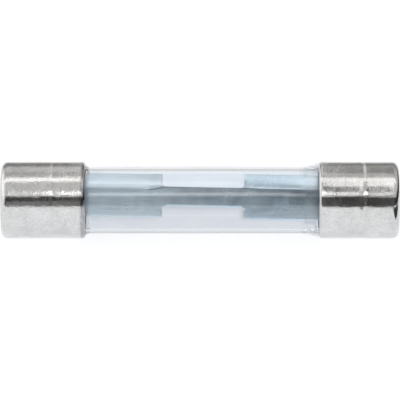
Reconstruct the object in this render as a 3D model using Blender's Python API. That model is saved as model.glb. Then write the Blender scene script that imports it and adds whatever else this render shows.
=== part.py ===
"""Glass cartridge fuse, 6.3 x 32 mm, with a stamped strip element.

The fuse lies along X with its middle at the origin, +Z up. Each end is a drawn metal cap, closed at
its outer end. The glass tube plugs into both caps and is cemented there. The element runs through
the tube and is soldered into the bottom of each cap.
"""

import math

import bmesh
import bpy
from mathutils import Matrix, Vector

MM = 0.001

# Driving dimensions, in millimetres.
FUSE_LENGTH = 32.2
CAP_RADIUS = 3.125
CAP_LENGTH = {"left": 6.85, "right": 6.5}
CAP_WALL = 0.32
CAP_CORNER = 0.55  # radius round the closed end
CAP_RIM_ROUND = 0.28  # radius round the outside of the open rim
VENT_RADIUS = 0.5  # solder vent in the middle of the closed end

TUBE_LENGTH = 30.4
TUBE_RADIUS = 2.7
BORE_RADIUS = 2.4
TUBE_END_ROUND = 0.12  # fire-polished edges

STRIP_LENGTH = 30.4
STRIP_THICKNESS = 0.14
TAB_ABOVE = 2.05  # the tabs' edges, from the middle of the neck
TAB_BELOW = 1.76
NECK_WIDTH = 1.64
NECK_LENGTH = 6.6
NECK_FILLET = 0.25
TONGUE_WIDTH = 2.4  # the tab narrows to this inside each cap
TAPER_START = 10.6  # from the strip's middle
TAPER_END = 12.2
WING_BEND = math.radians(40)  # the tabs lean back by this above the neck's top edge
STRIP_SHIFT = 0.24  # the strip's middle sits this far along +X
STRIP_RISE = 0.245  # and this far above the tube's axis
STRIP_ROLL = math.radians(10)  # the whole strip leans back a little
STRIP_TILT = math.radians(1.2)  # and runs down slightly towards +X

# Clear resin cement. Outside each cap's rim it makes a fillet: its reach along the tube, and its
# height at the rim.
CEMENT_REACH = {"left": 0.3, "right": 1.2}
CEMENT_RISE = {"left": 0.12, "right": 0.36}
CEMENT_DEPTH = 5.0  # length of the cement film inside the cap
CEMENT_EDGE = 0.02  # thickness where the cement runs out
FILLET_CURVE = 1.25  # 1 would make the fillet's slope straight
FILLET_STEPS = 4

# Solder in the bottom of each cap.
SOLDER_RADIUS = 2.72
MOUND_LENGTH = 1.5  # how far it climbs inside the bore
MOUND_TIP_RADIUS = 0.8
SPOT_RECESS = 0.03  # the spot in the vent stops this far short of the end face

GAP = 0.02  # between pieces that touch
SLOT_GAP = 0.03  # round the strip's end in the solder
SIDES = 32
ARC_STEPS = 4

HALF_LENGTH = FUSE_LENGTH / 2
RIM_X = {side: HALF_LENGTH - length for side, length in CAP_LENGTH.items()}
FLOOR_X = HALF_LENGTH - CAP_WALL  # inner face of the cap's closed end
TUBE_END_X = TUBE_LENGTH / 2
CAP_BORE_RADIUS = CAP_RADIUS - CAP_WALL
END_SIGNS = {"left": -1, "right": 1}


def clear_scene():
    for obj in list(bpy.data.objects):
        bpy.data.objects.remove(obj)


def material(name, colour, roughness, metallic=0.0, transmission=0.0):
    made = bpy.data.materials.new(name)
    made.use_nodes = True
    shader = made.node_tree.nodes["Principled BSDF"]
    shader.inputs["Base Color"].default_value = (*colour, 1.0)
    shader.inputs["Roughness"].default_value = roughness
    shader.inputs["Metallic"].default_value = metallic
    shader.inputs["Transmission Weight"].default_value = transmission
    return made


def arc(centre_x, centre_r, radius, start, end, steps=ARC_STEPS):
    """Points (x, r) along a round corner, from one angle to another, in degrees."""
    angles = [math.radians(start + (end - start) * i / steps) for i in range(steps + 1)]
    return [(centre_x + radius * math.cos(a), centre_r + radius * math.sin(a)) for a in angles]


def add_object(name, bm, finish):
    """The mesh as an object in metres, with its faces pointing out."""
    bmesh.ops.remove_doubles(bm, verts=bm.verts, dist=1e-5)
    bmesh.ops.recalc_face_normals(bm, faces=bm.faces)
    bmesh.ops.scale(bm, vec=(MM, MM, MM), verts=bm.verts)
    mesh = bpy.data.meshes.new(name)
    bm.to_mesh(mesh)
    bm.free()
    mesh.materials.append(finish)
    obj = bpy.data.objects.new(name, mesh)
    bpy.context.scene.collection.objects.link(obj)
    return obj


def turned(name, profile, finish, sign=1):
    """A closed outline of (x, r) points turned about X, its flats at radius r; sign -1 mirrors x."""
    to_corner = 1 / math.cos(math.pi / SIDES)
    first_side = Matrix.Rotation(math.pi / SIDES, 4, "X")
    bm = bmesh.new()
    ring = [bm.verts.new(first_side @ Vector((sign * x, 0, r * to_corner))) for x, r in profile]
    edges = [bm.edges.new((a, b)) for a, b in zip(ring, ring[1:] + ring[:1])]
    bmesh.ops.spin(
        bm,
        geom=ring + edges,
        cent=(0, 0, 0),
        axis=(1, 0, 0),
        angle=math.tau,
        steps=SIDES,
        use_merge=True,
    )
    obj = add_object(name, bm, finish)
    obj.data.shade_smooth()
    obj.data.set_sharp_from_angle(angle=math.radians(30))
    return obj


def glass_tube(finish):
    round_ = TUBE_END_ROUND
    half = TUBE_END_X
    profile = (
        arc(half - round_, TUBE_RADIUS - round_, round_, 90, 0)
        + arc(half - round_, BORE_RADIUS + round_, round_, 0, -90)
        + arc(-half + round_, BORE_RADIUS + round_, round_, -90, -180)
        + arc(-half + round_, TUBE_RADIUS - round_, round_, 180, 90)
    )
    return turned("glass_tube", profile, finish)


def end_cap(side, finish):
    """A drawn cup: round outer corner, vent hole in the closed end, softened open rim."""
    inner_corner = CAP_CORNER - CAP_WALL
    rim_x = RIM_X[side]
    profile = (
        [(FLOOR_X, VENT_RADIUS), (HALF_LENGTH, VENT_RADIUS)]
        + arc(HALF_LENGTH - CAP_CORNER, CAP_RADIUS - CAP_CORNER, CAP_CORNER, 0, 90)
        + arc(rim_x + CAP_RIM_ROUND, CAP_RADIUS - CAP_RIM_ROUND, CAP_RIM_ROUND, 90, 180)
        + [(rim_x, CAP_BORE_RADIUS)]
        + arc(FLOOR_X - inner_corner, CAP_BORE_RADIUS - inner_corner, inner_corner, 90, 0)
    )
    return turned(f"{side}_end_cap", profile, finish, END_SIGNS[side])


def cement_ring(side, finish):
    """The film between cap and tube, ending in a sloping fillet outside the rim."""
    inner = TUBE_RADIUS + GAP
    outer = CAP_BORE_RADIUS - GAP
    rim_x = RIM_X[side]
    fillet_x = rim_x - GAP
    reach = CEMENT_REACH[side]
    slope = CEMENT_RISE[side] - CEMENT_EDGE
    profile = [(rim_x + CEMENT_DEPTH, inner), (rim_x + CEMENT_DEPTH, outer), (fillet_x, outer)]
    for step in range(FILLET_STEPS + 1):
        out = step / FILLET_STEPS
        profile.append((fillet_x - out * reach, inner + CEMENT_EDGE + slope * (1 - out) ** FILLET_CURVE))
    profile.append((fillet_x - reach, inner))
    return turned(f"{side}_cement_ring", profile, finish, END_SIGNS[side])


def strip_edge(tab_edge, grow):
    """(u, v) points along one whole edge of the strip, for u from +X to -X; v is above 0."""
    tab = tab_edge + grow
    neck = NECK_WIDTH / 2 + grow
    tongue = TONGUE_WIDTH / 2 + grow
    shoulder = NECK_LENGTH / 2 - grow
    fillet = NECK_FILLET
    half = [
        (STRIP_LENGTH / 2 + grow, tongue),
        (TAPER_END, tongue),
        (TAPER_START, tab),
        (shoulder, tab),
    ] + arc(shoulder - fillet, neck + fillet, fillet, 0, -90)
    return half + [(-u, v) for u, v in reversed(half)]


def strip_outline(grow=0.0):
    """The whole flat outline of the strip, grown outwards by a margin."""
    upper = strip_edge(TAB_ABOVE, grow)
    lower = strip_edge(TAB_BELOW, grow)
    return upper + [(u, -v) for u, v in reversed(lower)]


def strip_mesh(grow=0.0):
    """The strip as a solid, with its wings above the neck's top edge leaning back."""
    thickness = STRIP_THICKNESS + 2 * grow
    crease = NECK_WIDTH / 2
    bm = bmesh.new()
    outline = [bm.verts.new((u, -thickness / 2, v)) for u, v in strip_outline(grow)]
    face = bm.faces.new(outline)
    grown = bmesh.ops.extrude_face_region(bm, geom=[face])["geom"]
    back = [item for item in grown if isinstance(item, bmesh.types.BMVert)]
    bmesh.ops.translate(bm, verts=back, vec=(0, thickness, 0))
    bmesh.ops.bisect_plane(
        bm,
        geom=bm.verts[:] + bm.edges[:] + bm.faces[:],
        dist=1e-5,
        plane_co=(0, 0, crease + grow),
        plane_no=(0, 0, 1),
    )
    wing = [v for v in bm.verts if v.co.z > crease + grow + 1e-4]
    bmesh.ops.rotate(
        bm,
        verts=wing,
        cent=(0, 0, crease + grow),
        matrix=Matrix.Rotation(-WING_BEND, 3, "X"),
    )
    return bm


def place_strip(obj):
    obj.location = (STRIP_SHIFT * MM, 0, STRIP_RISE * MM)
    obj.rotation_euler = (-STRIP_ROLL, STRIP_TILT, 0)
    return obj


def fuse_element(finish):
    return place_strip(add_object("fuse_element", strip_mesh(), finish))


def slot_cutter(finish):
    """The strip's own shape, a little larger, which opens the slot for it in each solder."""
    cutter = place_strip(add_object("slot_cutter", strip_mesh(SLOT_GAP), finish))
    cutter.hide_render = True
    cutter.display_type = "WIRE"
    return cutter


def solder(side, finish, cutter):
    """Solder that fills the cap's bottom, climbs into the bore and shows as a spot in the vent."""
    base_x = TUBE_END_X + GAP
    floor_x = FLOOR_X - GAP
    bore = BORE_RADIUS - GAP
    corner = CAP_CORNER - CAP_WALL
    tip_x = base_x - MOUND_LENGTH
    profile = [
        (tip_x, 0),
        (tip_x + 0.06 * MOUND_LENGTH, MOUND_TIP_RADIUS),
        (tip_x + 0.4 * MOUND_LENGTH, 0.5 * (MOUND_TIP_RADIUS + bore)),
        (tip_x + 0.7 * MOUND_LENGTH, bore),
        (base_x, bore),
        (base_x, SOLDER_RADIUS),
        (floor_x - corner, SOLDER_RADIUS),
        (floor_x, SOLDER_RADIUS - corner),
        (floor_x, VENT_RADIUS - GAP),
        (HALF_LENGTH - 2 * SPOT_RECESS, VENT_RADIUS - GAP),
        (HALF_LENGTH - SPOT_RECESS, 0.5 * VENT_RADIUS),
        (HALF_LENGTH - SPOT_RECESS, 0),
    ]
    obj = turned(f"{side}_solder", profile, finish, END_SIGNS[side])
    slot = obj.modifiers.new("strip_slot", "BOOLEAN")
    slot.operation = "DIFFERENCE"
    slot.object = cutter
    return obj


def main():
    clear_scene()
    glass = material("glass", (0.86, 0.93, 0.97), 0.03, transmission=1.0)
    nickel = material("nickel_plate", (0.72, 0.71, 0.69), 0.22, metallic=1.0)
    zinc = material("strip_metal", (0.55, 0.60, 0.63), 0.4, metallic=1.0)
    tin = material("solder", (0.62, 0.62, 0.61), 0.38, metallic=1.0)
    cement = material("cement", (0.90, 0.93, 0.95), 0.12, transmission=0.9)

    glass_tube(glass)
    fuse_element(zinc)
    cutter = slot_cutter(zinc)
    for side in END_SIGNS:
        end_cap(side, nickel)
        cement_ring(side, cement)
        solder(side, tin, cutter)


main()
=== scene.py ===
"""Looks of a glass cartridge fuse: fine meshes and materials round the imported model.

The fuse lies along X on a white floor, with the camera in front of it on the -Y side. Meshes are
modelled in millimetres and turned into metres when they become objects. Lengths along the fuse and
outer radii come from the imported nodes.
"""

import math

import bmesh
import bpy
import numpy as np
from mathutils import Matrix, Vector, noise


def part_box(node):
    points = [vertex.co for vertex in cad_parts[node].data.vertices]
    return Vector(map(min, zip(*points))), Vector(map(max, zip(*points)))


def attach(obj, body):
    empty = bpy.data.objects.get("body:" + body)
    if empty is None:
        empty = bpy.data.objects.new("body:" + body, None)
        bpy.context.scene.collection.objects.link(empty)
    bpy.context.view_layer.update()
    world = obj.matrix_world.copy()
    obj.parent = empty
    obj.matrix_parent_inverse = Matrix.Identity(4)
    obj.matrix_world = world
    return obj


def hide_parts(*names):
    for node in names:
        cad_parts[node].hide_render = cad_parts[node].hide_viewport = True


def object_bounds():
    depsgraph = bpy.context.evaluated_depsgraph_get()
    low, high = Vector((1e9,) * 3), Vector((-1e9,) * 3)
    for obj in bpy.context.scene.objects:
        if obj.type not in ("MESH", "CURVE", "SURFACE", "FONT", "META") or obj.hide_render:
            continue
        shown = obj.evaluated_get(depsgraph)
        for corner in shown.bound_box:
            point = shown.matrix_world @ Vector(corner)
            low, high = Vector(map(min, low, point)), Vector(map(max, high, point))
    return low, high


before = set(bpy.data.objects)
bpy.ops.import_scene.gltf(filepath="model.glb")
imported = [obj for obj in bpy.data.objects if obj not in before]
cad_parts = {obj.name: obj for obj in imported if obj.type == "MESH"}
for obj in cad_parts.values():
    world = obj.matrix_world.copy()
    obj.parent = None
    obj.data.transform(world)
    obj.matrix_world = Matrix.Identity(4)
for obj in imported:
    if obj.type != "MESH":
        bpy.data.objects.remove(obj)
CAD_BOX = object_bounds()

MM = 0.001


def node_box(node):
    """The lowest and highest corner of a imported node, in millimetres."""
    low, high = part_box(node)
    return low / MM, high / MM


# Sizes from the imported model, in millimetres.
LEFT_CAP, RIGHT_CAP = node_box("left_end_cap"), node_box("right_end_cap")
TUBE, STRIP = node_box("glass_tube"), node_box("fuse_element")
END_X = RIGHT_CAP[1].x
RIM_X = {"left": -LEFT_CAP[1].x, "right": RIGHT_CAP[0].x}  # from the fuse's middle
CAP_RADIUS = RIGHT_CAP[1].z
TUBE_END_X = TUBE[1].x
TUBE_RADIUS = TUBE[1].z
STRIP_SHIFT = (STRIP[0].x + STRIP[1].x) / 2
STRIP_LENGTH = STRIP[1].x - STRIP[0].x

# Sizes inside the nodes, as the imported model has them.
CAP_WALL = 0.32
CAP_CORNER = 0.55
VENT_RADIUS = 0.5
BORE_RADIUS = 2.4
TUBE_END_ROUND = 0.12
STRIP_THICKNESS = 0.14
TAB_ABOVE = 2.05
TAB_BELOW = 1.76
NECK_WIDTH = 1.64
NECK_LENGTH = 6.6
NECK_FILLET = 0.25
TONGUE_WIDTH = 2.4
TAPER_START = 10.6
TAPER_END = 12.2
STRIP_RISE = 0.245
STRIP_ROLL = math.radians(10)
STRIP_TILT = math.radians(1.2)
GAP = 0.02  # between pieces that touch in the real fuse
CEMENT_DEPTH = 5  # length of the cement film inside the cap
MOUND_LENGTH = 1.5  # how far the solder climbs inside the bore
SPOT_RECESS = 0.03  # the spot of solder in the vent stops this far short of the end face

# Fine shape that only the visual model has.
TUBE_WAVE = 0.004  # how uneven the drawn tube is
VENT_ROUND = 0.06
RIM_ROUND = {"left": 0.315, "right": 0.24}
SEAM = {"left": (4.25, 0.012), "right": (2.95, 0.03)}  # distance from the end face, and depth
SEAM_WIDTH = 0.13
DENT_HEIGHT = 0.005
DENT_SIZE = 1.1
DING = {"side": "left", "from_end": 4.4, "angle": math.radians(-14), "size": 0.17, "depth": 0.03}
STRIP_EDGE = 0.03  # rounding of the strip's sheared edges
STRIP_WAVE = 0.035  # height of the strip's soft waves
# How each tab bends back into its wing: where each bend begins, measured up from the neck's top edge,
# its angle, and the length that it takes.
WING_BENDS = {
    "left": [(-0.24, math.radians(38), 0.01), (0.06, math.radians(6), 0.35)],
    "right": [(-0.06, math.radians(20), 0.01), (0.06, math.radians(20), 0.8)],
}
BEND_ONSET = 1.2  # along the strip, from the neck to where a tab's first bend is at its lowest
STRIP_LEAN = {"left": math.radians(-1), "right": math.radians(3)}  # further back, at the strip's ends
# Where the strip's mesh is cut so that it can bend: first cut, limit and step, along it and across it.
STRIP_CUTS_ALONG = (-15.2, 15.3, 0.4)
STRIP_CUTS_BELOW = (-1.6, 0.1, 0.2)
STRIP_CUTS_ABOVE = (0.22, 2.0, 0.06)
CEMENT_REACH = {"left": 0.3, "right": 1.2}
CEMENT_RISE = {"left": 0.12, "right": 0.36}
FLARE_CURVE = 1.25  # 1 would make the cement's slope straight
FLARE_STEPS = 12
CEMENT_EDGE = 0.015  # thickness where the cement runs out
CEMENT_UNEVEN = 0.35  # how much its reach varies round the tube
CEMENT_MOST = 1.15  # and the most it reaches, as a share of CEMENT_REACH
CEMENT_LUMP = 0.02
MOUND_RISE = 1.05  # from the mound's tip to its edge, along the bore
MOUND_TIP_RADIUS = 0.02
MOUND_LUMP = 0.16
SPOT_EDGE = 0.07  # the spot in the vent stops this far short of the end face at its edge
SOLDER_SIDE_GAP = 0.085  # between the solder and the cap's bore
SOLDER_CORNER = 0.08
CAP_SEED = {"left": 7, "right": 11}
CEMENT_SEED = {"left": 3, "right": 9}
SOLDER_SEED = {"left": 13, "right": 17}
END_SIGNS = {"left": -1, "right": 1}

# Meshes.
SIDES = 256
SPACING = 0.12  # between mesh rings along a straight wall
TUBE_SPACING = 0.5
MERGE_DISTANCE = 1e-4
SHARP_ANGLE = 40
STRIP_SHARP_ANGLE = 20

SHADE_RING_X = RIM_X["left"] + 0.2  # a painted dark ring of shade round the shoulder of the left cap's rim
SHADE_RING_EDGE = (0.1, 0.28)  # the ring fades out between these distances from it

# Camera and studio.
CAMERA_ELEVATION = 20
CAMERA_DISTANCE = 400
VIEW_WIDTH = 32.4
SENSOR = 36
CLIP = (0.01, 20)  # in metres


# ---------------------------------------------------------------- meshes


def arc(centre_x, centre_r, radius, start, end, steps=8):
    """Points (x, r) along a round corner, from one angle to another, in degrees."""
    angles = [math.radians(start + (end - start) * i / steps) for i in range(steps + 1)]
    return [(centre_x + radius * math.cos(a), centre_r + radius * math.sin(a)) for a in angles]


def refined(profile, spacing=SPACING):
    """The outline with extra points on its long straight stretches."""
    points = []
    for (x0, r0), (x1, r1) in zip(profile, profile[1:] + profile[:1]):
        steps = max(1, round(math.hypot(x1 - x0, r1 - r0) / spacing))
        points += [(x0 + (x1 - x0) * i / steps, r0 + (r1 - r0) * i / steps) for i in range(steps)]
    return points


def turned(name, profile, finish, sign=1, change=None):
    """A closed outline of (x, r) points turned about X; change moves each point (x, r, angle)."""
    vertices = []
    for x, r in profile:
        for side in range(SIDES):
            angle = math.tau * side / SIDES
            px, pr = change(x, r, angle) if change else (x, r)
            vertices.append((sign * px, pr * math.cos(angle), pr * math.sin(angle)))
    count = len(profile)
    faces = []
    for ring in range(count):
        here, there = ring * SIDES, (ring + 1) % count * SIDES
        for side in range(SIDES):
            turn = (side + 1) % SIDES
            faces.append((here + side, here + turn, there + turn, there + side))
    mesh = bpy.data.meshes.new(name)
    mesh.from_pydata(vertices, [], faces)
    bm = bmesh.new()
    bm.from_mesh(mesh)
    bpy.data.meshes.remove(mesh)
    return add_piece(name, bm, finish)


def add_piece(name, bm, finish, sharp=SHARP_ANGLE):
    """The mesh as an object in metres, smooth apart from its sharp edges."""
    bmesh.ops.remove_doubles(bm, verts=bm.verts, dist=MERGE_DISTANCE)
    bmesh.ops.recalc_face_normals(bm, faces=bm.faces)
    bmesh.ops.scale(bm, vec=(MM, MM, MM), verts=bm.verts)
    mesh = bpy.data.meshes.new(name)
    bm.to_mesh(mesh)
    bm.free()
    mesh.shade_smooth()
    mesh.set_sharp_from_angle(angle=math.radians(sharp))
    mesh.materials.append(finish)
    piece = bpy.data.objects.new(name, mesh)
    bpy.context.scene.collection.objects.link(piece)
    return piece


def ripple(x, r, angle, size, seed):
    """Smooth noise from about -1 to 1 on a turned surface, with features of that size."""
    place = Vector((x, r * math.cos(angle), r * math.sin(angle))) / size
    return noise.noise(place + Vector((seed, 3.1 * seed, 0)))


def hand_in(piece, node):
    """The piece rides on the fuse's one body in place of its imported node."""
    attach(piece, "root")
    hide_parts(node)


# ---------------------------------------------------------------- materials


class Nodes:
    """Short ways to add and join the nodes of one tree."""

    def __init__(self, tree):
        self.tree = tree

    def add(self, kind, settings=None, **inputs):
        """A new node with its settings, and its inputs by name, with _ for a space."""
        made = self.tree.nodes.new(kind)
        for key, value in (settings or {}).items():
            setattr(made, key, value)
        for key, value in inputs.items():
            self.put(made.inputs[key.replace("_", " ")], value)
        return made

    def put(self, socket, value):
        """Links a socket to the value where the value is a socket, and sets it otherwise."""
        if isinstance(value, bpy.types.NodeSocket):
            self.tree.links.new(value, socket)
        else:
            socket.default_value = value

    def coordinates(self, stretch=(1, 1, 1)):
        """The surface's own place in millimetres, squeezed along each axis by stretch."""
        place = self.add("ShaderNodeTexCoord").outputs["Object"]
        scale = tuple(s / MM for s in stretch)
        return self.add("ShaderNodeMapping", Vector=place, Scale=scale).outputs["Vector"]

    def grain(self, scale, detail=3.0, roughness=0.5, stretch=(1, 1, 1), distortion=0.0):
        """Noise from 0 to 1, with scale features per millimetre."""
        made = self.add(
            "ShaderNodeTexNoise",
            Vector=self.coordinates(stretch),
            Scale=scale,
            Detail=detail,
            Roughness=roughness,
            Distortion=distortion,
        )
        return made.outputs["Fac"]

    def spread(self, value, low, high, to_low, to_high):
        """value taken from one range to another, and held inside it."""
        made = self.add("ShaderNodeMapRange", Value=value)
        made.inputs["From Min"].default_value = low
        made.inputs["From Max"].default_value = high
        made.inputs["To Min"].default_value = to_low
        made.inputs["To Max"].default_value = to_high
        return made.outputs["Result"]

    def share(self, value, low=0.35, high=0.65):
        """Where value lies between low and high, from 0 to 1."""
        return self.spread(value, low, high, 0, 1)

    def blend(self, share, first, second):
        """A colour between two, by share."""
        made = self.add("ShaderNodeMix", {"data_type": "RGBA"})
        self.put(made.inputs["Factor"], share)
        self.put(made.inputs["A"], first)
        self.put(made.inputs["B"], second)
        return made.outputs[2]

    def sum(self, first, first_share, second, second_share):
        """The two values added up, each by its share."""
        first = self.math("MULTIPLY", first, first_share)
        return self.math("ADD", first, self.math("MULTIPLY", second, second_share))

    def math(self, operation, first, second=0.0):
        """The result of one Math node."""
        made = self.add("ShaderNodeMath", {"operation": operation})
        self.put(made.inputs[0], first)
        self.put(made.inputs[1], second)
        return made.outputs[0]

    def bump(self, height, distance, strength=1.0, normal=None):
        """A bump from a height of 0 to 1, distance millimetres deep."""
        made = self.add("ShaderNodeBump", Height=height, Strength=strength, Distance=distance * MM)
        if normal:
            self.put(made.inputs["Normal"], normal)
        return made.outputs["Normal"]


def colour(red, green, blue):
    """The colour with full opacity."""
    return (red, green, blue, 1.0)


def new_material(name):
    """An empty Principled material, with its nodes and its shader's inputs."""
    made = bpy.data.materials.new(name)
    made.use_nodes = True
    return made, Nodes(made.node_tree), made.node_tree.nodes["Principled BSDF"].inputs


def nickel_finish():
    """Bright plating: cloudy where it has dulled, speckled, with fine marks from handling, and a
    painted dark ring of shade round the shoulder of the left cap's rim.
    """
    made, nodes, shader = new_material("nickel_plate")
    clouds = nodes.grain(0.9, detail=4, distortion=0.6)
    speckle = nodes.grain(7, detail=2)
    turning = nodes.grain(4, detail=3, stretch=(1, 0.08, 0.08))
    handling = nodes.grain(2.2, detail=5, stretch=(0.35, 1, 1), distortion=1.2)
    mottle = nodes.share(nodes.sum(clouds, 0.5, speckle, 0.5))
    plating = nodes.blend(mottle, colour(0.56, 0.56, 0.555), colour(0.71, 0.71, 0.705))
    along = nodes.add("ShaderNodeSeparateXYZ", Vector=nodes.coordinates()).outputs["X"]
    # Painted shade: a dark ring, mottled by the speckle, round the shoulder of the left cap's rim.
    from_ring = nodes.math("ABSOLUTE", nodes.math("ADD", along, SHADE_RING_X))
    ring = nodes.spread(from_ring, *SHADE_RING_EDGE, 1, 0)
    painted_shade_ring = nodes.math("MULTIPLY", ring, nodes.spread(speckle, 0.35, 0.6, 0.3, 0.85))
    nodes.put(shader["Base Color"], nodes.blend(painted_shade_ring, plating, colour(0.25, 0.25, 0.27)))
    shader["Metallic"].default_value = 1.0
    dull = nodes.sum(clouds, 0.6, speckle, 0.4)
    nodes.put(shader["Roughness"], nodes.spread(dull, 0.3, 0.7, 0.06, 0.17))
    fine = nodes.bump(speckle, 0.006)
    lines = nodes.bump(turning, 0.0022, normal=fine)
    nodes.put(shader["Normal"], nodes.bump(handling, 0.007, normal=lines))
    return made


def glass_finish():
    """Thin clear glass with a faint blue tint and light smears."""
    made, nodes, shader = new_material("glass")
    smears = nodes.grain(0.6, detail=4, stretch=(0.5, 1, 1), distortion=0.8)
    tint = nodes.blend(nodes.share(smears), colour(0.9, 0.93, 0.96), colour(0.93, 0.955, 0.98))
    nodes.put(shader["Base Color"], tint)
    nodes.put(shader["Roughness"], nodes.spread(smears, 0.3, 0.7, 0.0, 0.03))
    shader["Transmission Weight"].default_value = 1.0
    shader["IOR"].default_value = 1.5
    shader["Specular IOR Level"].default_value = 0.85
    return made


def strip_finish():
    """Rolled zinc strip: dull blue-grey with stains. Its colour is painted bluer to the right as a tint
    of the light there, and painted paler towards the right cap, where painted light lifts the cap's
    shade.
    """
    made, nodes, shader = new_material("strip_metal")
    rolled = nodes.grain(6, detail=4, stretch=(0.05, 1, 1))
    stains = nodes.grain(0.8, detail=4, distortion=0.5)
    tone = nodes.share(nodes.sum(rolled, 0.35, stains, 0.65), 0.3, 0.7)
    grey = nodes.blend(tone, colour(0.59, 0.675, 0.73), colour(0.7, 0.785, 0.84))
    blue = nodes.blend(tone, colour(0.56, 0.675, 0.755), colour(0.66, 0.785, 0.87))
    along = nodes.add("ShaderNodeSeparateXYZ", Vector=nodes.coordinates()).outputs["X"]
    # Painted light: the colour turns bluer to the right, a tint of the light that the strip mirrors
    # there.
    plain = nodes.blend(nodes.share(along, 0, 5), grey, blue)
    # Painted light: the colour turns paler towards the right cap, lifting the shade that the cap's dark
    # inside puts on the strip.
    painted_light_at_cap = nodes.spread(along, 6.5, RIM_X["right"], 0, 0.8)
    nodes.put(shader["Base Color"], nodes.blend(painted_light_at_cap, plain, colour(0.84, 0.93, 0.98)))
    shader["Metallic"].default_value = 1.0
    nodes.put(shader["Roughness"], nodes.spread(stains, 0.3, 0.7, 0.2, 0.28))
    nodes.put(shader["Normal"], nodes.bump(rolled, 0.002))
    return made


def solder_finish():
    """Satin tin, a little grainy, duller where flux has dried on it."""
    made, nodes, shader = new_material("solder")
    crystals = nodes.grain(5, detail=3)
    flux = nodes.grain(1.4, detail=4, distortion=0.7)
    tint = nodes.blend(nodes.share(flux), colour(0.5, 0.49, 0.46), colour(0.68, 0.68, 0.67))
    nodes.put(shader["Base Color"], tint)
    shader["Metallic"].default_value = 1.0
    nodes.put(shader["Roughness"], nodes.spread(flux, 0.3, 0.7, 0.42, 0.28))
    nodes.put(shader["Normal"], nodes.bump(crystals, 0.008))
    return made


def cement_finish():
    """Clear resin cement with a faint haze and small ripples."""
    made, nodes, shader = new_material("cement")
    haze = nodes.grain(1.6, detail=3, distortion=0.5)
    ripples = nodes.grain(2.5, detail=2)
    tint = nodes.blend(nodes.share(haze), colour(0.9, 0.93, 0.94), colour(0.97, 0.98, 0.99))
    nodes.put(shader["Base Color"], tint)
    nodes.put(shader["Roughness"], nodes.spread(haze, 0.3, 0.7, 0.04, 0.14))
    nodes.put(shader["Normal"], nodes.bump(ripples, 0.008))
    shader["Transmission Weight"].default_value = 1.0
    shader["IOR"].default_value = 1.2
    shader["Specular IOR Level"].default_value = 1.0
    shader["Alpha"].default_value = 0.22
    return made


# ---------------------------------------------------------------- pieces


def glass_tube(finish):
    """The tube with both its walls and fire-polished ends, drawn very slightly uneven."""
    round_ = TUBE_END_ROUND
    half = TUBE_END_X
    profile = refined(
        arc(half - round_, TUBE_RADIUS - round_, round_, 90, 0)
        + arc(half - round_, BORE_RADIUS + round_, round_, 0, -90)
        + arc(-half + round_, BORE_RADIUS + round_, round_, -90, -180)
        + arc(-half + round_, TUBE_RADIUS - round_, round_, 180, 90),
        spacing=TUBE_SPACING,
    )

    def drawn(x, r, angle):
        return x, r + TUBE_WAVE * ripple(x / 3, r, angle, 1.6, 5)

    return turned("clear_glass_tube", profile, finish, change=drawn)


def ding_depth(side, x, r, angle):
    """How deep the one small knock in the left cap is at a place on its side."""
    if side != DING["side"]:
        return 0.0
    along = END_X - x - DING["from_end"]
    around = r * math.remainder(angle - math.pi + DING["angle"], math.tau)
    return DING["depth"] * math.exp(-(along**2 + around**2) / DING["size"] ** 2)


def end_cap(side, finish):
    """A drawn cup with a round corner, a faint seam round its side, a soft rim and small dents."""
    round_ = RIM_ROUND[side]
    floor_x = END_X - CAP_WALL
    bore = CAP_RADIUS - CAP_WALL
    inner = CAP_CORNER - CAP_WALL
    profile = refined(
        [(floor_x, VENT_RADIUS)]
        + arc(END_X - VENT_ROUND, VENT_RADIUS + VENT_ROUND, VENT_ROUND, -90, 0, steps=4)[1:]
        + arc(END_X - CAP_CORNER, CAP_RADIUS - CAP_CORNER, CAP_CORNER, 0, 90)
        + arc(RIM_X[side] + round_, CAP_RADIUS - round_, round_, 90, 180)
        + [(RIM_X[side], bore)]
        + arc(floor_x - inner, bore - inner, inner, 90, 0, steps=4)
    )
    seam_at, seam_depth = SEAM[side]
    seed = CAP_SEED[side]

    def worn(x, r, angle):
        if r < bore + GAP:
            return x, r
        dents = ripple(x, r, angle, DENT_SIZE, seed)
        dents += 0.5 * ripple(x, r, angle, DENT_SIZE / 2.3, seed + 1)
        seam = math.exp(-(((END_X - x - seam_at) / SEAM_WIDTH) ** 2))
        on_wall = min(1.0, (r - bore) / CAP_WALL)
        marks = seam_depth * seam
        knock = ding_depth(side, x, r, angle)
        return x, r + on_wall * (DENT_HEIGHT * (dents - 1.2) - marks - knock)

    return turned(f"{side}_cap", profile, finish, END_SIGNS[side], worn)


def cement_ring(side, finish):
    """The cement between tube and cap, with a fillet outside the rim that ends unevenly."""
    inner = TUBE_RADIUS + GAP
    outer = CAP_RADIUS - CAP_WALL - GAP
    start = RIM_X[side] - GAP
    deep = start + CEMENT_DEPTH
    reach, rise = CEMENT_REACH[side], CEMENT_RISE[side]
    fillet = []
    for i in range(FLARE_STEPS + 1):
        height = rise * (1 - i / FLARE_STEPS) ** FLARE_CURVE
        fillet.append((start - reach * i / FLARE_STEPS, inner + CEMENT_EDGE + height))
    profile = [(deep, inner), (deep, outer), (start, outer)] + fillet + [(start - reach, inner)]
    seed = CEMENT_SEED[side]

    def uneven(x, r, angle):
        out = start - x
        if out < 0.01:
            return x, r
        stretch = 1 + CEMENT_UNEVEN * ripple(0, TUBE_RADIUS, angle, 1.1, seed)
        lump = CEMENT_LUMP * ripple(x, r, angle, 0.5, seed) * (r - inner) / rise
        return start - min(out * stretch, CEMENT_MOST * reach), r + lump

    return turned(f"{side}_cement", profile, finish, END_SIGNS[side], uneven)


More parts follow.
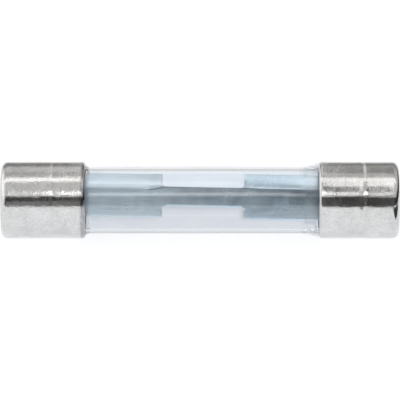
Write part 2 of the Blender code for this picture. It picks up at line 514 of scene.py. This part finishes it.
def solder_fill(side, finish):
    """The solder in the bottom of the cap: a lumpy mound in the bore and a spot in the vent."""
    base_x = TUBE_END_X + GAP
    floor_x = END_X - CAP_WALL - GAP
    bore = BORE_RADIUS - GAP
    wide = CAP_RADIUS - CAP_WALL - SOLDER_SIDE_GAP
    spot = VENT_RADIUS - GAP
    tip_x = base_x - MOUND_LENGTH
    turns = [math.sin(a) for a in np.linspace(0, math.pi / 2, 16)]
    tip = MOUND_TIP_RADIUS
    mound = [(tip_x + MOUND_RISE * turn**2, tip + (bore - tip) * turn) for turn in turns]
    corner = [(floor_x - SOLDER_CORNER, wide), (floor_x, wide - SOLDER_CORNER)]
    radii = (0.4, 0.3, 0.2, 0.1, 0.02)
    dome = [(END_X - SPOT_RECESS - 0.03 * (r / VENT_RADIUS) ** 2, r) for r in radii]
    profile = refined(
        mound
        + [(base_x, bore), (base_x, wide)]
        + corner
        + [(floor_x, spot), (END_X - SPOT_EDGE, spot)]
        + dome
    )
    seed = SOLDER_SEED[side]

    def lumpy(x, r, angle):
        if x > base_x - 0.1:
            return x, r
        return x + MOUND_LUMP * ripple(x, r, angle, 0.8, seed) * (1 - (r / BORE_RADIUS) ** 4), r

    return turned(f"{side}_solder_fill", profile, finish, END_SIGNS[side], lumpy)


def strip_edge(tab):
    """(u, v) points along one whole edge of the strip, for u from +X to -X; v is above 0."""
    neck, tongue = NECK_WIDTH / 2, TONGUE_WIDTH / 2
    shoulder = NECK_LENGTH / 2
    fillet = arc(shoulder - NECK_FILLET, neck + NECK_FILLET, NECK_FILLET, 0, -90, steps=6)
    half = [(STRIP_LENGTH / 2, tongue), (TAPER_END, tongue), (TAPER_START, tab), (shoulder, tab)]
    half += fillet
    return half + [(-u, v) for u, v in reversed(half)]


def strip_outline():
    """The whole flat outline of the strip, (u, v) points in millimetres."""
    return strip_edge(TAB_ABOVE) + [(u, -v) for u, v in reversed(strip_edge(TAB_BELOW))]


def cut_across(bm, positions, axis):
    """Cuts the mesh at each position (first, limit, step) along one axis, so that it can bend."""
    for position in np.arange(*positions):
        bmesh.ops.bisect_plane(
            bm,
            geom=bm.verts[:] + bm.edges[:] + bm.faces[:],
            dist=1e-5,
            plane_co=axis * position,
            plane_no=axis,
        )


def curled(t, v, start, angle, length):
    """The point (t, v) of the cross-section once all above start curls back through an angle."""
    if v <= start:
        return t, v
    turn = angle * min(1.0, (v - start) / length)
    radius = length / angle
    beyond = max(0.0, v - start - length)
    back = radius * (1 - math.cos(turn)) + beyond * math.sin(turn) + t * math.cos(turn)
    up = radius * math.sin(turn) + beyond * math.cos(turn) - t * math.sin(turn)
    return back, start + up


def shape_strip(point):
    """Where a point of the flat strip goes: wings curled back, slight waves, and a twist."""
    u, t, v = point
    side = "left" if u < 0 else "right"
    onset = min(1.0, max(0.0, (abs(u) - NECK_LENGTH / 2) / BEND_ONSET))
    for start, angle, length in reversed(WING_BENDS[side]):
        place = start * onset**2 * (3 - 2 * onset) if start < 0 else start
        t, v = curled(t, v, NECK_WIDTH / 2 + place, angle, length)
    free = max(0.0, 1 - (abs(u) / TAPER_START) ** 4)
    t += free * STRIP_WAVE * noise.noise(Vector((u / 4.5, v / 3, 2.5)))
    share = 0.5 + u / STRIP_LENGTH
    lean = STRIP_LEAN["left"] * (1 - share) + STRIP_LEAN["right"] * share
    cos, sin = math.cos(lean), math.sin(lean)
    return Vector((u, t * cos + v * sin, v * cos - t * sin))


def fuse_strip(finish):
    """The stamped strip with rounded sheared edges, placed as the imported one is."""
    bm = bmesh.new()
    half = STRIP_THICKNESS / 2
    outline = [bm.verts.new((u, -half, v)) for u, v in strip_outline()]
    face = bm.faces.new(outline)
    grown = bmesh.ops.extrude_face_region(bm, geom=[face])["geom"]
    back = [item for item in grown if isinstance(item, bmesh.types.BMVert)]
    bmesh.ops.translate(bm, verts=back, vec=(0, STRIP_THICKNESS, 0))
    bmesh.ops.recalc_face_normals(bm, faces=bm.faces)
    rim = [e for e in bm.edges if abs(e.verts[0].co.y - e.verts[1].co.y) < 1e-6]
    bmesh.ops.bevel(bm, geom=rim, offset=STRIP_EDGE, segments=3, profile=0.5, affect="EDGES")
    cut_across(bm, STRIP_CUTS_ALONG, Vector((1, 0, 0)))
    cut_across(bm, STRIP_CUTS_BELOW, Vector((0, 0, 1)))
    cut_across(bm, STRIP_CUTS_ABOVE, Vector((0, 0, 1)))
    for vertex in bm.verts:
        vertex.co = shape_strip(vertex.co)
    turn = Matrix.Rotation(STRIP_TILT, 4, "Y") @ Matrix.Rotation(-STRIP_ROLL, 4, "X")
    bmesh.ops.transform(bm, matrix=turn, verts=bm.verts)
    bmesh.ops.translate(bm, verts=bm.verts, vec=(STRIP_SHIFT, 0, STRIP_RISE))
    return add_piece("fuse_strip", bm, finish, sharp=STRIP_SHARP_ANGLE)


# ---------------------------------------------------------------- studio

# The studio as the fuse mirrors it: how bright it is at each angle round the fuse's axis. The angle
# is 0 in front, 90 overhead and 180 behind; the floor covers what is below 0 and above 180.
BANDS = [
    (0, 1.0),
    (1, 0.06),
    (29, 0.05),
    (33, 0.8),
    (42, 0.8),
    (46, 0.68),
    (75, 0.7),
    (78, 1.55),
    (87, 1.55),
    (93, 0.64),
    (135, 0.6),
    (146, 0.3),
    (165, 0.3),
    (169, 1.0),
    (180, 1.0),
]
BAND_TOP = 3.0  # the ramp's colours go up to 1, and this is what 1 stands for
# The walls at the room's ends: their brightness low down and high up, and the two heights between
# which it changes, as the sine of the angle above the horizon.
LEFT_WALL = (0.9, 1.5, 0.0, 0.35)
RIGHT_WALL = (0.02, 0.7, 0.3, 0.5)
WALL_START = (0.4, 0.85)  # the bands run into a wall between these, as the sine of the angle to it
WARM = (1.0, 0.985, 0.97)
FLOOR_GLOW = 0.92
FLOOR_COLOUR = (0.98, 1.0, 1.02)
FLOOR_GREY = 0.2
FLOOR_SIZE = 3000
FLOOR_DROP = 0.01 * MM  # below the fuse

# Lamps and flags near the fuse, which it mirrors in part of its length: angles round the fuse's
# axis, ends along it in millimetres, and brightness.
CARD_DISTANCE = 150
CARD_ROWS = 9
CARDS = {
    "left_fill": ((3, 16), (-60, -8), 0.25),
    "left_back_flag": ((98, 113), (-60, -11.5), 0.56),
    "left_back_lamp": ((113, 136), (-60, -11.5), 0.7),
    "right_low_flag": ((-1.4, 31), (13, 19), 0.01),
    "right_low_lamp": ((30.5, 41.5), (13, 60), 0.88),
    "right_flag": ((42.5, 60), (10.5, 19), 0.0),
    "right_end_fill": ((-1.4, 31), (19, 60), 0.1),
    "right_end_lamp": ((47, 60), (19, 60), 1.0),
    "right_lamp": ((61, 88), (13, 60), 1.4),
    "right_back_flag": ((107, 136), (11.5, 60), 0.38),
    "tube_lamp": ((35, 46), (-12.5, 11.5), 2.7),
    "tube_top_lamp": ((98, 146), (-11, 11), 0.9),
    "tube_left_fill": ((3, 29), (-12.5, -4.5), 0.2),
    "tube_left_lamp": ((52, 78), (-12.5, -4.5), 0.8),
    "tube_left_top_lamp": ((78, 98), (-11.5, -4.5), 1.5),
    "tube_right_fill": ((3, 29), (4.5, 9.8), 0.3),
    "tube_right_lamp": ((56, 92), (4.5, 11), 0.7),
    "tube_back_lamp": ((148, 168), (-12.5, 13), 0.68),
}

# A glowing sheet on the floor behind the tube, which shows only through the glass and carries painted
# shade: where it lies on the floor, and its brightness near the tube and further back, a painted
# contact shadow that is darkest under the tube. The strip's painted soft shadow on it is further back
# behind the neck than behind the tabs.
SHADE_SHEET_X = (-9.2, 9.5)
SHADE_SHEET_Y = (-1, 45)
SHADE_SHEET_CONTACT = (0.2, 1.0)
SHADE_SHEET_FADE = (6.5, 9.5)
SHADE_SHEET_CONTACT_SHADE = (0.74, 0.74, 0.76)
SHADE_SHEET_NEAR = (0.765, 0.755, 0.78)
SHADE_SHEET_FAR = (0.88, 0.91, 0.955)
SHADE_SHEET_STRIP_SHADOW = (0.44, 0.47, 0.49)
SHADE_BEHIND_TABS = (2.3, 5.4)
SHADE_BEHIND_NECK = (5.3, 8.5)
SHADE_END = (9.5, 9.7)
SHADE_STEP = (NECK_LENGTH / 2 - 0.2, NECK_LENGTH / 2 + 0.5)  # from the neck's shadow to a tab's

# The dark sheet on the floor to the right, which only the fuse mirrors, and its brightness.
FLOOR_FLAG_X = (18, 110)
FLOOR_FLAG_Y = (-60, -5)
FLOOR_FLAG_GLOW = 0.05
SHEET_LIFT = 0.01  # between the floor and a sheet on it


def lay_down(name, made, ends, sides):
    """A sheet on the floor, which only the fuse mirrors or shows through its glass."""
    bm = bmesh.new()
    (x0, x1), (y0, y1), z = ends, sides, CAD_BOX[0].z / MM + SHEET_LIFT
    corners = ((x0, y0, z), (x1, y0, z), (x1, y1, z), (x0, y1, z))
    bm.faces.new([bm.verts.new(corner) for corner in corners])
    sheet = add_piece(name, bm, made)
    sheet.visible_camera = False
    sheet.visible_diffuse = False
    sheet.visible_shadow = False


def glowing(name, brightness):
    """A material that glows evenly, with its nodes and its glow."""
    made, nodes, _ = new_material(name)
    made.node_tree.nodes.clear()
    glow = nodes.add("ShaderNodeEmission", Color=colour(*WARM), Strength=brightness)
    output = nodes.add("ShaderNodeOutputMaterial")
    nodes.put(output.inputs["Surface"], glow.outputs[0])
    return made, nodes, glow


def studio_card(name, angles, ends, brightness):
    """A curved card round the fuse's axis, which glows evenly and which the camera can't see."""
    bm = bmesh.new()
    rows = []
    for angle in np.radians(np.linspace(*angles, CARD_ROWS)):
        y, z = -CARD_DISTANCE * math.cos(angle), CARD_DISTANCE * math.sin(angle)
        rows.append([bm.verts.new((x, y, z)) for x in ends])
    for low, high in zip(rows, rows[1:]):
        bm.faces.new((*low, *reversed(high)))
    card = add_piece(name, bm, glowing(name, brightness)[0])
    card.visible_camera = False


def painted_shade_sheet():
    """A glowing sheet on the floor behind the tube, with a painted contact shadow and the strip's
    painted soft shadow, which only the glass shows.
    """
    made, nodes, glow = glowing("painted_shade_sheet", 1.0)
    place = nodes.add("ShaderNodeSeparateXYZ", Vector=nodes.coordinates()).outputs
    depth, along = place["Y"], nodes.math("ABSOLUTE", place["X"])
    # Painted contact shadow: darkest under the tube, lighter near it and lightest further back.
    near = nodes.blend(nodes.share(depth, *SHADE_SHEET_CONTACT), colour(*SHADE_SHEET_CONTACT_SHADE), colour(*SHADE_SHEET_NEAR))
    plain = nodes.blend(nodes.share(depth, *SHADE_SHEET_FADE), near, colour(*SHADE_SHEET_FAR))
    behind_tabs = nodes.share(along, *SHADE_STEP)
    tab_shade = nodes.math("MULTIPLY", behind_tabs, nodes.share(depth, *SHADE_BEHIND_TABS))
    shade = nodes.math("MAXIMUM", tab_shade, nodes.share(depth, *SHADE_BEHIND_NECK))
    shade = nodes.math("MULTIPLY", shade, nodes.spread(depth, *SHADE_END, 1, 0))
    nodes.put(glow.inputs["Color"], nodes.blend(shade, plain, colour(*SHADE_SHEET_STRIP_SHADOW)))
    lay_down("painted_shade_sheet", made, SHADE_SHEET_X, SHADE_SHEET_Y)


def studio_world():
    """Soft light in long bands along the fuse, a bright wall to its left and a dark one right."""
    world = bpy.data.worlds.new("studio")
    world.use_nodes = True
    nodes = Nodes(world.node_tree)
    world.node_tree.nodes.clear()
    direction = nodes.add("ShaderNodeTexCoord").outputs["Generated"]
    aim = nodes.add("ShaderNodeSeparateXYZ", Vector=direction).outputs
    forward = nodes.math("MULTIPLY", aim["Y"], -1.0)
    angle = nodes.math("ARCTAN2", aim["Z"], forward)
    ramp = nodes.add("ShaderNodeValToRGB", Fac=nodes.share(angle, 0, math.pi))
    stops = ramp.color_ramp.elements
    stops.remove(stops[0])
    for number, (degrees, brightness) in enumerate(BANDS):
        stop = stops[0] if number == 0 else stops.new(degrees / 180)
        stop.position = degrees / 180
        stop.color = colour(*(c * brightness / BAND_TOP for c in WARM))
    bands = nodes.add("ShaderNodeBackground", Color=ramp.outputs["Color"], Strength=BAND_TOP)
    walls = []
    for low_tone, high_tone, low, high in (LEFT_WALL, RIGHT_WALL):
        walls.append(nodes.spread(aim["Z"], low, high, low_tone, high_tone))
    tone = nodes.blend(nodes.share(aim["X"], -0.1, 0.1), *walls)
    side = nodes.add("ShaderNodeBackground", Color=tone, Strength=1.0)
    near_wall = nodes.share(nodes.math("ABSOLUTE", aim["X"]), *WALL_START)
    room = nodes.add("ShaderNodeMixShader")
    nodes.put(room.inputs[0], near_wall)
    nodes.put(room.inputs[1], bands.outputs[0])
    nodes.put(room.inputs[2], side.outputs[0])
    backdrop = nodes.add("ShaderNodeBackground", Color=colour(1, 1, 1), Strength=1.0)
    seen = nodes.add("ShaderNodeMixShader")
    nodes.put(seen.inputs[0], nodes.add("ShaderNodeLightPath").outputs["Is Camera Ray"])
    nodes.put(seen.inputs[1], room.outputs[0])
    nodes.put(seen.inputs[2], backdrop.outputs[0])
    output = nodes.add("ShaderNodeOutputWorld")
    nodes.put(output.inputs["Surface"], seen.outputs[0])
    bpy.context.scene.world = world


def floor():
    """A white light table under the fuse."""
    made, _, shader = new_material("floor")
    shader["Base Color"].default_value = colour(*[FLOOR_GREY] * 3)
    shader["Roughness"].default_value = 0.8
    shader["Specular IOR Level"].default_value = 0.0
    shader["Emission Color"].default_value = colour(*FLOOR_COLOUR)
    shader["Emission Strength"].default_value = FLOOR_GLOW
    bm = bmesh.new()
    bmesh.ops.create_grid(bm, x_segments=1, y_segments=1, size=FLOOR_SIZE)
    plane = add_piece("floor", bm, made)
    plane.location.z = CAD_BOX[0].z - FLOOR_DROP


def camera():
    """In front of the fuse and a little above it, with a long lens."""
    data = bpy.data.cameras.new("camera")
    data.sensor_width = SENSOR
    data.lens = SENSOR * CAMERA_DISTANCE / VIEW_WIDTH
    data.clip_start, data.clip_end = CLIP
    made = bpy.data.objects.new("camera", data)
    elevation = math.radians(CAMERA_ELEVATION)
    back = Vector((0, -math.cos(elevation), math.sin(elevation)))
    made.location = back * CAMERA_DISTANCE * MM
    made.rotation_euler = (-back).to_track_quat("-Z", "Y").to_euler()
    bpy.context.scene.collection.objects.link(made)
    bpy.context.scene.camera = made


def main():
    nickel, cement, tin = nickel_finish(), cement_finish(), solder_finish()
    hand_in(glass_tube(glass_finish()), "glass_tube")
    hand_in(fuse_strip(strip_finish()), "fuse_element")
    for side in END_SIGNS:
        hand_in(end_cap(side, nickel), f"{side}_end_cap")
        hand_in(cement_ring(side, cement), f"{side}_cement_ring")
        hand_in(solder_fill(side, tin), f"{side}_solder")
    floor()
    for name, (angles, ends, brightness) in CARDS.items():
        studio_card(name, angles, ends, brightness)
    painted_shade_sheet()
    lay_down("floor_flag", glowing("floor_flag", FLOOR_FLAG_GLOW)[0], FLOOR_FLAG_X, FLOOR_FLAG_Y)
    camera()
    studio_world()
    bpy.context.scene.view_settings.view_transform = "Standard"


main()
